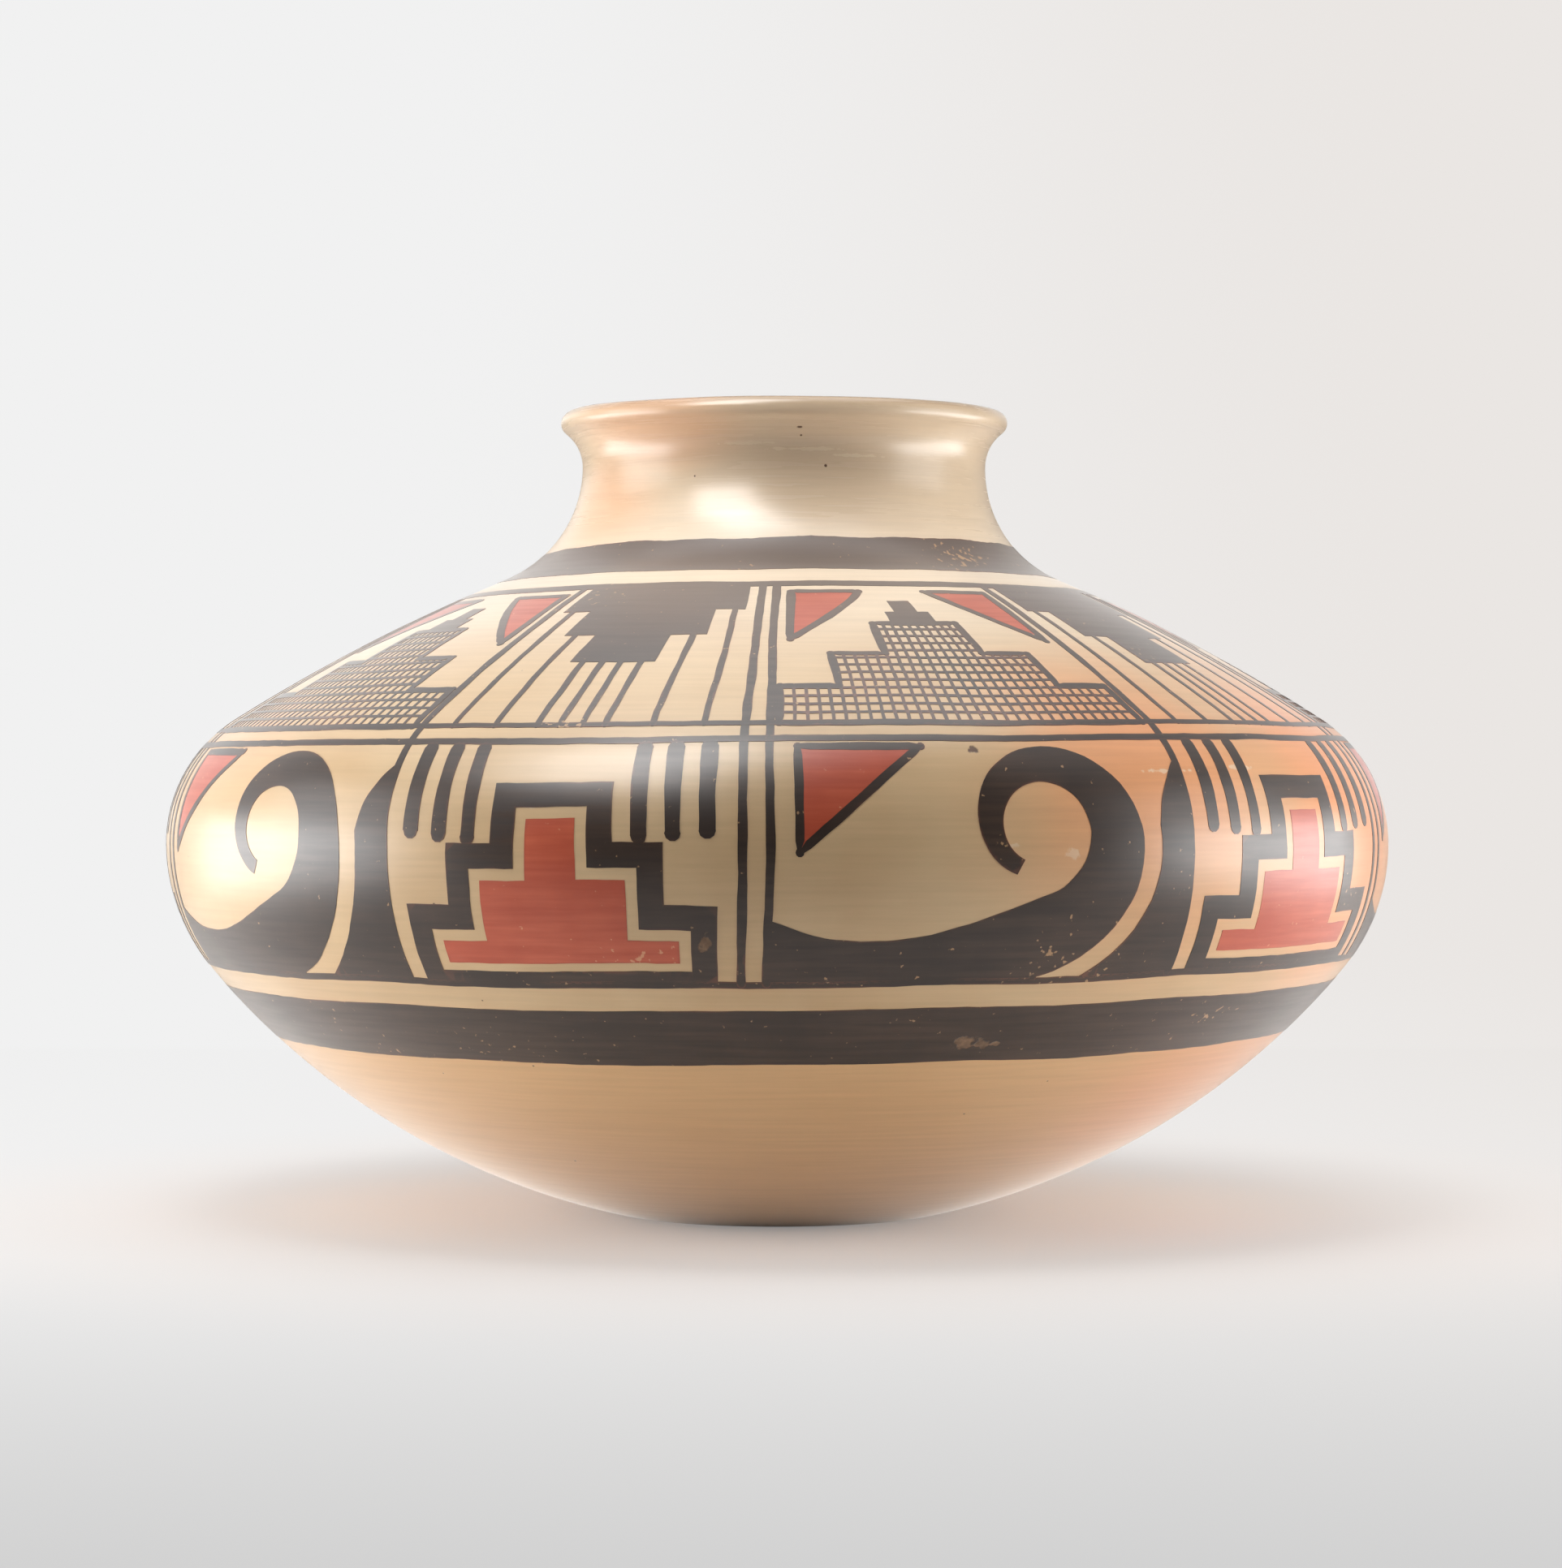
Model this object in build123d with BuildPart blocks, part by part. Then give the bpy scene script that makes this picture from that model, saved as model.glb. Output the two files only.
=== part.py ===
from build123d import *
import os
from math import acos, ceil, sqrt

# A pueblo water jar, raised by hand from a pressed base and rolls of clay.
# Each roll is pinched thin and laps down the inside of the one below it, and slip lutes the joint.
# The axis of the jar is Z, it stands on Z = 0, and lengths are millimetres.

# Outline of the jar, outside
jar_height = 200.0
belly_diameter = 304.0
belly_height = 92.5
foot_diameter = 84.0
neck_diameter = 101.2
neck_below_lip = 13.8
lip_flare = 5.5

# Roundness of each stretch of the outline, in the upright section
lower_wall_radius = 182.0
lower_belly_radius = 49.0
upper_belly_radius = 36.0
shoulder_radius = 438.0
neck_radius = 31.0

# Clay: the scraper leaves narrow flats, which cut this far into the round
wall_thickness = 5.5
base_thickness = 8.0
flat_depth = 0.3

# Joints between the rolls of clay, measured up the outside of the wall
base_reach = 74.0
lip_reach = 14.0
lap_length = 9.0
slip_film = 0.2

course_names = [
    "wall_coil",
    "belly_coil_1",
    "belly_coil_2",
    "shoulder_coil_1",
    "shoulder_coil_2",
    "neck_coil",
]

# A cutting outline reaches this far past the clay on both sides
cut_margin = 6.0


def centre_between(first, first_reach, second, second_reach):
    """The point at two given distances from two others, left of the way between them."""
    way = second - first
    along = (first_reach**2 - second_reach**2 + way.length**2) / (2 * way.length)
    across = sqrt(first_reach**2 - along**2)
    ahead = way.normalized()
    return first + ahead * along + ahead.rotate(Axis.Z, 90) * across


# Centres of the arcs, found so that each arc runs smoothly into the next
neck_height = jar_height - neck_below_lip
foot_edge = Vector(foot_diameter / 2, 0)
lower_belly_centre = Vector(belly_diameter / 2 - lower_belly_radius, belly_height)
upper_belly_centre = Vector(belly_diameter / 2 - upper_belly_radius, belly_height)
neck_centre = Vector(neck_diameter / 2 + neck_radius, neck_height)
lower_wall_centre = centre_between(
    foot_edge, lower_wall_radius, lower_belly_centre, lower_wall_radius - lower_belly_radius
)
shoulder_centre = centre_between(
    upper_belly_centre, shoulder_radius - upper_belly_radius, neck_centre, shoulder_radius + neck_radius
)

# The lip is a full round as thick as the wall, and the flare is the arc from the neck that touches it
lip_diameter = neck_diameter + 2 * lip_flare
lip_round = wall_thickness / 2
lip_centre = Vector(lip_diameter / 2 - lip_round, jar_height - lip_round)
lip_overhang = lip_centre.X - neck_diameter / 2
lip_rise = lip_centre.Y - neck_height
flare_radius = (lip_overhang**2 + lip_rise**2 - lip_round**2) / (2 * (lip_round + lip_overhang))
flare_centre = Vector(neck_diameter / 2 + flare_radius, neck_height)


def wall_arcs(inset, floor):
    """The arcs up one face of the wall, from the floor to the lip, inset from the outside."""
    lower_radius = lower_wall_radius - inset
    shoulder = shoulder_radius - inset
    start_radius = lower_wall_centre.X + sqrt(lower_radius**2 - (lower_wall_centre.Y - floor) ** 2)
    start = Vector(start_radius, floor)
    lower_turn = lower_wall_centre + (lower_belly_centre - lower_wall_centre).normalized() * lower_radius
    belly = Vector(belly_diameter / 2 - inset, belly_height)
    upper_turn = shoulder_centre + (upper_belly_centre - shoulder_centre).normalized() * shoulder
    neck_turn = shoulder_centre + (neck_centre - shoulder_centre).normalized() * shoulder
    neck = Vector(neck_diameter / 2 - inset, neck_height)
    lip = flare_centre + (lip_centre - flare_centre).normalized() * (flare_radius + inset)
    with BuildLine() as arcs:
        RadiusArc(start, lower_turn, -lower_radius)
        RadiusArc(lower_turn, belly, -(lower_belly_radius - inset))
        RadiusArc(belly, upper_turn, -(upper_belly_radius - inset))
        RadiusArc(upper_turn, neck_turn, -shoulder)
        RadiusArc(neck_turn, neck, neck_radius + inset)
        RadiusArc(neck, lip, flare_radius + inset)
    return arcs.edges()


def flats_along(arc):
    """Points along an arc whose chords cut no deeper into it than a scraper's flat."""
    widest_turn = 2 * acos(1 - flat_depth / arc.radius)
    count = ceil(arc.length / arc.radius / widest_turn)
    return [arc @ (i / count) for i in range(count + 1)]


# Upright section of all the clay, from the axis outwards
outer_arcs = wall_arcs(0, 0)
inner_arcs = wall_arcs(wall_thickness, base_thickness)
with BuildSketch() as clay:
    with BuildLine():
        lip_arc = SagittaArc(outer_arcs[-1] @ 1, inner_arcs[-1] @ 1, -lip_round, mode=Mode.PRIVATE)
        for arc in [*outer_arcs, *inner_arcs, lip_arc]:
            Polyline(*flats_along(arc))
        Polyline(outer_arcs[0] @ 0, (0, 0), (0, base_thickness), inner_arcs[0] @ 0)
    make_face()

# Stations of the joints: the courses between the base and the lip are equally wide
wall_outside = Wire(outer_arcs)
course_width = (wall_outside.length - base_reach - lip_reach) / len(course_names)
stations = [base_reach + course_width * i for i in range(len(course_names) + 1)]


def joint_line(station, lift):
    """The slanted joint across the wall, from outside the clay to inside it, raised by lift."""
    point = wall_outside.position_at(station, position_mode=PositionMode.LENGTH)
    up = wall_outside.tangent_at(station, position_mode=PositionMode.LENGTH)
    slant = (up.rotate(Axis.Z, 90) * wall_thickness - up * lap_length).normalized()
    raised = point + slant.rotate(Axis.Z, -90) * lift
    slant_width = sqrt(wall_thickness**2 + lap_length**2)
    return [raised - slant * cut_margin, raised + slant * (slant_width + cut_margin)]


def clay_between(lower, upper):
    """The upright section of the clay between two lines across the wall."""
    with BuildSketch(Plane.XZ) as section:
        add(clay.sketch_local)
        with BuildLine():
            Polyline(*lower, *reversed(upper), close=True)
        make_face(mode=Mode.INTERSECT)
    return section.sketch


# Pressed base with the foot
with BuildPart() as base_dish:
    base_joint = joint_line(stations[0], -slip_film / 2)
    under_base = [Vector(base_joint[0].X, -cut_margin), Vector(0, -cut_margin), Vector(0, base_joint[1].Y)]
    revolve(clay_between(under_base, base_joint), axis=Axis.Z)
base_dish.part.label = "base_dish"

# Coil courses from the base to the neck
courses = []
for i, name in enumerate(course_names):
    with BuildPart() as course:
        lower_joint = joint_line(stations[i], slip_film / 2)
        upper_joint = joint_line(stations[i + 1], -slip_film / 2)
        revolve(clay_between(lower_joint, upper_joint), axis=Axis.Z)
    course.part.label = name
    courses.append(course.part)

# Last coil with the rounded lip
with BuildPart() as lip_coil:
    lip_joint = joint_line(stations[-1], slip_film / 2)
    over_lip = [
        Vector(lip_diameter / 2 + cut_margin, jar_height + cut_margin),
        Vector(neck_diameter / 2 - wall_thickness - cut_margin, jar_height + cut_margin),
    ]
    revolve(clay_between(lip_joint, over_lip), axis=Axis.Z)
lip_coil.part.label = "lip_coil"

os.makedirs("parts", exist_ok=True)
for piece in [base_dish.part, *courses, lip_coil.part]:
    export_step(piece, f"parts/{piece.label}.step")
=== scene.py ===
"""Looks of a coil-built pueblo jar: burnished clay, mineral paint and soft studio light."""
import math

import bpy
import numpy as np
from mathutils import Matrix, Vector, geometry, kdtree, noise


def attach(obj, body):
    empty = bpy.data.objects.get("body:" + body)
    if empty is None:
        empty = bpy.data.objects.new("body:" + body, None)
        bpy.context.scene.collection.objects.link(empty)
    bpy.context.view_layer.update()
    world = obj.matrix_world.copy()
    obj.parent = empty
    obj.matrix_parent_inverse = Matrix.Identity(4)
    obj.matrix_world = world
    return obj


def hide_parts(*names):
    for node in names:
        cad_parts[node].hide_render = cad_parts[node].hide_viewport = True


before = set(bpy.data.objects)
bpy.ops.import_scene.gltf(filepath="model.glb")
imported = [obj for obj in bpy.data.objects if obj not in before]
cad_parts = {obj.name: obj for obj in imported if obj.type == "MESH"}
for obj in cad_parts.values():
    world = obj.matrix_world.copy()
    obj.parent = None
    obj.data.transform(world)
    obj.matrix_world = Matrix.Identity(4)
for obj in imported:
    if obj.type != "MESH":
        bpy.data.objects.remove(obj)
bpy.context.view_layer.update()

MM = 0.001

# Outline of the jar, outside, in millimetres
JAR_HEIGHT = 200.0
BELLY_DIAMETER = 304.0
BELLY_HEIGHT = 92.5
FOOT_DIAMETER = 84.0
NECK_DIAMETER = 101.2
NECK_BELOW_LIP = 13.8
LIP_FLARE = 5.5
LOWER_WALL_RADIUS = 182.0
LOWER_BELLY_RADIUS = 49.0
UPPER_BELLY_RADIUS = 36.0
SHOULDER_RADIUS = 438.0
NECK_RADIUS = 31.0

# Clay and its joints, in millimetres up the outside of the wall
WALL_THICKNESS = 5.5
BASE_THICKNESS = 8.0
BASE_REACH = 74.0
LIP_REACH = 14.0
LAP_LENGTH = 9.0
COURSES = ["wall_coil", "belly_coil_1", "belly_coil_2", "shoulder_coil_1", "shoulder_coil_2", "neck_coil"]

# What the hand leaves: the neck leans to one side and nods forwards, and nothing is quite round
LEAN = 1.6
NOD = 0.008
OUT_OF_ROUND = 0.006
LIP_WAVE = 0.9
LEAN_FROM = 100.0
# How quickly the wall wanders: round the jar, and in a metre of height
WANDER_ROUND = 0.9
WANDER_UP = 16.0

# Fineness of the surface, in millimetres, and its counts of columns round the axis and rows over the lip
OUTLINE_STEP = 0.25
ROW_STEP = 1.6
INNER_ROW_STEP = 3.0
WELD = 0.002
CLOSE = 0.001
COLUMNS = 512
LIP_ROWS = 15

# Painted rings, from station to station up the outside of the wall
NECK_BAND = (261.6, 275.2)
UPPER_FRAME = (250.6, 253.6)
MIDDLE_LINES = ((178.4, 180.2), (183.6, 185.2))
LOWER_FRAME = (121.8, 123.6)
LOWER_BAND = (98.0, 115.2)
RINGS = {
    "neck_band": [NECK_BAND],
    "frame_lines": [LOWER_FRAME, *MIDDLE_LINES, UPPER_FRAME],
    "lower_band": [LOWER_BAND],
}
# The rings bow away from the middle of the frieze in front and rise to the right
RING_MIDDLE = 185.0
RING_BOW = 0.02
RING_RISE = 1.2

# Films of paint, how deep they bed in the clay, and the widths of brush lines, in millimetres
BLACK_FILM = 0.09
RED_FILM = 0.06
BED = 0.05
LINE = 2.0
RAIN_LINE = 1.5
BAR = 3.6
# Hatching: the lean of its lines in degrees, their spacing and their width
HATCHES = ((0, 3.5, 1.0), (90, 3.1, 0.8))
# Steps along a brush line and across an area, and the width of a band's thin edge
BRUSH_STEP = 2.6
FILL_STEP = 2.7
THIN_EDGE = 0.6
# The brush strays in slow and quick swings, and its line swells: the length of a swing, then how much
SLOW_LENGTH, SLOW_ROUND, SLOW_UP = 34, 0.9, 0.7
QUICK_LENGTH, QUICK_STRAY = 5, 0.2
SWELL_LENGTH, SWELL, SWELL_LAYER = 9, 0.16, 7.0
# A brush line is rounded where it turns by more than this angle, in radians, by caps with so many sides
SHARP_TURN = 0.5
CAP_SIDES = 10
HAND_SEED = 11
noise.seed_set(HAND_SEED)

# The frieze is drawn flat, in millimetres round the belly, and its ends lie over the frame lines
REPEATS = 5
FRIEZE_START = -3.0
FRIEZE_LOW, FRIEZE_HIGH = LOWER_FRAME[1], UPPER_FRAME[0]
FRAME_OVERLAP = 0.6
MIDDLE_OVERLAP = 0.5
CHART_RADIUS = 150.0
CHART = CHART_RADIUS * math.pi / 180


def hex_colour(code):
    """Linear colour of an sRGB hex value."""
    channels = [int(code[i : i + 2], 16) / 255 for i in (1, 3, 5)]
    return [c / 12.92 if c <= 0.04045 else ((c + 0.055) / 1.055) ** 2.4 for c in channels] + [1.0]


def add(tree, kind, links=None, output=0, **settings):
    """Adds a node with its settings, its sockets linked or set to values, and gives one of its outputs."""
    # A short kind, such as Math, is a shader's node
    node = tree.nodes.new(kind if "Node" in kind else "ShaderNode" + kind)
    for name, value in settings.items():
        setattr(node, name, value)
    for socket, value in (links or {}).items():
        if isinstance(value, bpy.types.NodeSocket):
            tree.links.new(value, node.inputs[socket])
        else:
            node.inputs[socket].default_value = value
    return node.outputs[output] if node.outputs else None


def maths(tree, operation, *values):
    """The result of a sum on sockets or numbers."""
    return add(tree, "Math", dict(enumerate(values)), operation=operation)


def ramp(tree, value, first, last, low=0.0, high=1.0, shape="LINEAR"):
    """A number that goes from low to high while a value goes from first to last."""
    ends = {0: value, 1: first, 2: last, 3: low, 4: high}
    return add(tree, "MapRange", ends, interpolation_type=shape)


def eased(tree, *ends):
    """A ramp that starts and ends gently."""
    return ramp(tree, *ends, shape="SMOOTHSTEP")


def mixed_colour(tree, share, first, second, way="MIX"):
    """One colour with a share of a second."""
    # The node takes colours at its sockets 6 and 7, and gives one at its output 2
    return add(tree, "Mix", {0: share, 6: first, 7: second}, 2, data_type="RGBA", blend_type=way)


def placed(name, data):
    """A new object in the scene, at the origin."""
    thing = bpy.data.objects.new(name, data)
    bpy.context.scene.collection.objects.link(thing)
    return thing


# Outline of the wall, which ends in a lip that is a full round

LIP_ROUND = WALL_THICKNESS / 2
LIP_CENTRE = np.array([NECK_DIAMETER / 2 + LIP_FLARE - LIP_ROUND, JAR_HEIGHT - LIP_ROUND])


def centre_between(first, first_reach, second, second_reach):
    """The point at two given distances from two others, left of the way between them."""
    way = second - first
    ahead = way / np.hypot(*way)
    along = (first_reach**2 - second_reach**2 + way @ way) / (2 * np.hypot(*way))
    across = math.sqrt(first_reach**2 - along**2)
    return first + ahead * along + np.array([-ahead[1], ahead[0]]) * across


def along_arc(centre, first, last):
    """Points and outward directions along the short arc about a centre."""
    start = math.atan2(*(first - centre)[::-1])
    turn = math.remainder(math.atan2(*(last - centre)[::-1]) - start, 2 * math.pi)
    radius = np.hypot(*(first - centre))
    angles = start + turn * np.linspace(0, 1, math.ceil(abs(turn) * radius / OUTLINE_STEP) + 1)
    rays = np.stack([np.cos(angles), np.sin(angles)], 1)
    return np.hstack([centre + radius * rays, rays * math.copysign(1, turn)])


def towards(start, goal, reach):
    """The point at a distance from one point in the direction of another."""
    return start + (goal - start) / np.hypot(*(goal - start)) * reach


def wall_outline():
    """Stations up the outside of the wall, each with its radius, height and outward direction."""
    belly = np.array([BELLY_DIAMETER / 2, BELLY_HEIGHT])
    foot = np.array([FOOT_DIAMETER / 2, 0.0])
    neck = np.array([NECK_DIAMETER / 2, JAR_HEIGHT - NECK_BELOW_LIP])
    lower_belly = belly - [LOWER_BELLY_RADIUS, 0]
    upper_belly = belly - [UPPER_BELLY_RADIUS, 0]
    neck_centre = neck + [NECK_RADIUS, 0]
    wall = centre_between(foot, LOWER_WALL_RADIUS, lower_belly, LOWER_WALL_RADIUS - LOWER_BELLY_RADIUS)
    shoulder = centre_between(
        upper_belly, SHOULDER_RADIUS - UPPER_BELLY_RADIUS, neck_centre, SHOULDER_RADIUS + NECK_RADIUS
    )
    rise, overhang = LIP_CENTRE[1] - neck[1], LIP_CENTRE[0] - neck[0]
    flare_radius = (overhang**2 + rise**2 - LIP_ROUND**2) / (2 * (LIP_ROUND + overhang))
    flare = neck + [flare_radius, 0]
    lower_turn = towards(wall, lower_belly, LOWER_WALL_RADIUS)
    upper_turn = towards(shoulder, upper_belly, SHOULDER_RADIUS)
    neck_turn = towards(shoulder, neck_centre, SHOULDER_RADIUS)
    arcs = [
        along_arc(wall, foot, lower_turn),
        along_arc(lower_belly, lower_turn, belly),
        along_arc(upper_belly, belly, upper_turn),
        along_arc(shoulder, upper_turn, neck_turn),
        along_arc(neck_centre, neck_turn, neck),
        along_arc(flare, neck, towards(flare, LIP_CENTRE, flare_radius)),
    ]
    points = np.vstack([arcs[0]] + [arc[1:] for arc in arcs[1:]])
    steps = np.hypot(*np.diff(points[:, :2], axis=0).T)
    return np.column_stack([np.concatenate([[0], np.cumsum(steps)]), points])


OUTLINE = wall_outline()
WALL_LENGTH = OUTLINE[-1, 0]


def wall_at(stations):
    """Radius, height and outward direction at stations up the outside of the wall."""
    return [np.interp(stations, OUTLINE[:, 0], OUTLINE[:, k]) for k in (1, 2, 3, 4)]


# Clay: each coil is the upright section of its clay, carried round the axis


def rows_between(first, last, step):
    """Stations from one to another, no further apart than a step."""
    return np.linspace(first, last, math.ceil(abs(last - first) / step) + 1)


def outer_rows(first, last):
    """Rows up the outside: radius, height, direction, station and a mark for the outside."""
    stations = rows_between(first, last, ROW_STEP)
    return np.column_stack([*wall_at(stations), stations, np.ones(len(stations))])


def inner_rows(first, last):
    """Rows along the inside of the wall."""
    stations = rows_between(first, last, INNER_ROW_STEP)
    radius, height, out, up = wall_at(stations)
    inside = [radius - out * WALL_THICKNESS, height - up * WALL_THICKNESS, -out, -up]
    return np.column_stack([*inside, stations, np.zeros(len(stations))])


def lip_rows():
    """Rows over the round of the lip, from the outside to the inside."""
    start = math.atan2(OUTLINE[-1, 2] - LIP_CENTRE[1], OUTLINE[-1, 1] - LIP_CENTRE[0])
    angles = start + np.linspace(0, math.pi, LIP_ROWS)
    rays = np.stack([np.cos(angles), np.sin(angles)], 1)
    stations = WALL_LENGTH + (angles - angles[0]) * LIP_ROUND
    return np.column_stack([LIP_CENTRE + LIP_ROUND * rays, rays, stations, np.ones(len(angles))])[1:-1]


def floor_rows(radius, height, up, mark):
    """Rows across the flat of the foot or of the floor inside, from the axis outwards."""
    radii = rows_between(0, radius, INNER_ROW_STEP)
    even = np.ones(len(radii))
    return np.column_stack([radii, even * height, even * 0, even * up, radii - radius, even * mark])


def coil_sections():
    """The section of each piece of clay, from the base to the lip."""
    width = (WALL_LENGTH - BASE_REACH - LIP_REACH) / len(COURSES)
    joints = [BASE_REACH + width * i for i in range(len(COURSES) + 1)]
    hollow = inner_rows(joints[0] - LAP_LENGTH, 0)
    hollow = hollow[hollow[:, 1] > BASE_THICKNESS]
    bottom = floor_rows(FOOT_DIAMETER / 2, 0, -1, 1)
    top = floor_rows(hollow[-1, 0], BASE_THICKNESS, 1, 0)
    sections = {"base_dish": np.vstack([bottom[:-1], outer_rows(0, joints[0]), hollow[:-1], top[::-1]])}
    for name, first, last in zip(COURSES, joints, joints[1:]):
        rows = np.vstack([outer_rows(first, last), inner_rows(last - LAP_LENGTH, first - LAP_LENGTH)])
        sections[name] = np.vstack([rows, rows[:1]])
    flare = outer_rows(joints[-1], WALL_LENGTH)
    rows = np.vstack([flare, lip_rows(), inner_rows(WALL_LENGTH, joints[-1] - LAP_LENGTH)])
    sections["lip_coil"] = np.vstack([rows, rows[:1]])
    return sections


def hand_made_place(tree, radius, height, angle):
    """Where a point of the true jar lies on the hand-made one, and its direction from the axis."""
    sine = maths(tree, "SINE", angle)
    cosine = maths(tree, "COSINE", angle)
    front = maths(tree, "MULTIPLY", cosine, -1.0)
    away = add(tree, "CombineXYZ", {0: sine, 1: front})
    upward = maths(tree, "MULTIPLY", height, WANDER_UP)
    way = add(tree, "CombineXYZ", {0: sine, 1: front, 2: upward})
    uneven = add(tree, "TexNoise", {"Vector": way, "Scale": WANDER_ROUND, "Detail": 1.0})
    swing = OUT_OF_ROUND / 2
    swell = ramp(tree, uneven, 0.0, 1.0, 1 - swing, 1 + swing)
    reach = maths(tree, "MULTIPLY", radius, swell)
    share = eased(tree, height, LEAN_FROM * MM, JAR_HEIGHT * MM)
    side = maths(tree, "MULTIPLY", share, LEAN * MM)
    forward = maths(tree, "MULTIPLY", reach, front)
    nod = maths(tree, "MULTIPLY", forward, NOD)
    swing = LIP_WAVE * MM / 2
    wave = ramp(tree, uneven, 0.0, 1.0, -swing, swing)
    dip = maths(tree, "ADD", nod, wave)
    rise = maths(tree, "MULTIPLY_ADD", dip, share, height)
    spread = add(tree, "VectorMath", {0: away, "Scale": reach}, operation="SCALE")
    shift = add(tree, "CombineXYZ", {0: side, 2: rise})
    return add(tree, "VectorMath", {0: spread, 1: shift}, operation="ADD"), away


def outward(tree, away, out, up):
    """The outward direction of the wall, from its directions in the upright section."""
    level = add(tree, "VectorMath", {0: away, "Scale": out}, operation="SCALE")
    upright = add(tree, "CombineXYZ", {2: up})
    return add(tree, "VectorMath", {0: level, 1: upright}, operation="ADD")


def new_tree(name, inputs):
    """A Geometry Nodes tree with named inputs, and its input and output sockets."""
    tree = bpy.data.node_groups.new(name, "GeometryNodeTree")
    tree.interface.new_socket("Geometry", in_out="INPUT", socket_type="NodeSocketGeometry")
    tree.interface.new_socket("Geometry", in_out="OUTPUT", socket_type="NodeSocketGeometry")
    for label, kind in inputs.items():
        tree.interface.new_socket(label, in_out="INPUT", socket_type=kind)
    return tree, tree.nodes.new("NodeGroupInput").outputs, tree.nodes.new("NodeGroupOutput").inputs


def noted(tree, shape, numbers, wall_normal):
    """The shape with some numbers and the direction of the wall kept at its points."""
    kept = [(name, "FLOAT", number) for name, number in numbers.items()]
    for name, kind, value in [*kept, ("wall_normal", "FLOAT_VECTOR", wall_normal)]:
        store = {"Geometry": shape, "Name": name, "Value": value}
        shape = add(tree, "GeometryNodeStoreNamedAttribute", store, data_type=kind)
    return shape


def finished(tree, shape, material):
    """The shape welded, smooth and real, with its material."""
    shape = add(tree, "GeometryNodeMergeByDistance", {0: shape, "Distance": WELD * MM})
    shape = add(tree, "GeometryNodeSetShadeSmooth", {0: shape})
    shape = add(tree, "GeometryNodeRealizeInstances", {0: shape})
    return add(tree, "GeometryNodeSetMaterial", {0: shape, "Material": material})


def coil_tree():
    """Carries the section of a coil round the axis of the jar."""
    inputs = {"Columns": "NodeSocketInt", "Outside": "NodeSocketMaterial", "Inside": "NodeSocketMaterial"}
    tree, given, result = new_tree("carry_coil_round", inputs)
    section = given["Geometry"]
    count = add(tree, "GeometryNodeAttributeDomainSize", {0: section}, "Point Count")
    lines = maths(tree, "ADD", given["Columns"], 1.0)
    grid = add(tree, "GeometryNodeMeshGrid", {"Vertices X": count, "Vertices Y": lines}, "Mesh")
    index = add(tree, "GeometryNodeInputIndex")
    parts = maths(tree, "DIVIDE", index, lines)
    row = maths(tree, "FLOOR", parts)
    column = maths(tree, "MODULO", index, lines)
    turn = maths(tree, "DIVIDE", column, given["Columns"])
    angle = maths(tree, "MULTIPLY_ADD", turn, 2 * math.pi, -math.pi)
    slope = add(tree, "GeometryNodeInputNamedAttribute", {0: "slope"}, data_type="FLOAT_VECTOR")
    sampled = []
    for value in (add(tree, "GeometryNodeInputPosition"), slope):
        wanted = {0: section, 1: value, "Index": row}
        found = add(tree, "GeometryNodeSampleIndex", wanted, data_type="FLOAT_VECTOR")
        sampled.append(add(tree, "SeparateXYZ", {0: found}).node.outputs)
    (radius, mark, height), (out, up, station) = sampled
    place, away = hand_made_place(tree, radius, height, angle)
    shape = add(tree, "GeometryNodeFlipFaces", {0: grid})
    shape = noted(tree, shape, {"station": station, "outside": mark}, outward(tree, away, out, up))
    shape = add(tree, "GeometryNodeSetPosition", {0: shape, "Position": place})
    shape = finished(tree, shape, given["Inside"])
    # The mark is a millimetre on the outside and nothing inside
    kept = add(tree, "GeometryNodeInputNamedAttribute", {0: "outside"}, data_type="FLOAT")
    outer = add(tree, "FunctionNodeCompare", {0: kept, 1: 0.99 * MM}, operation="GREATER_THAN")
    shape = add(tree, "GeometryNodeSetMaterial", {0: shape, 1: outer, "Material": given["Outside"]})
    tree.links.new(shape, result[0])
    return tree


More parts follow.
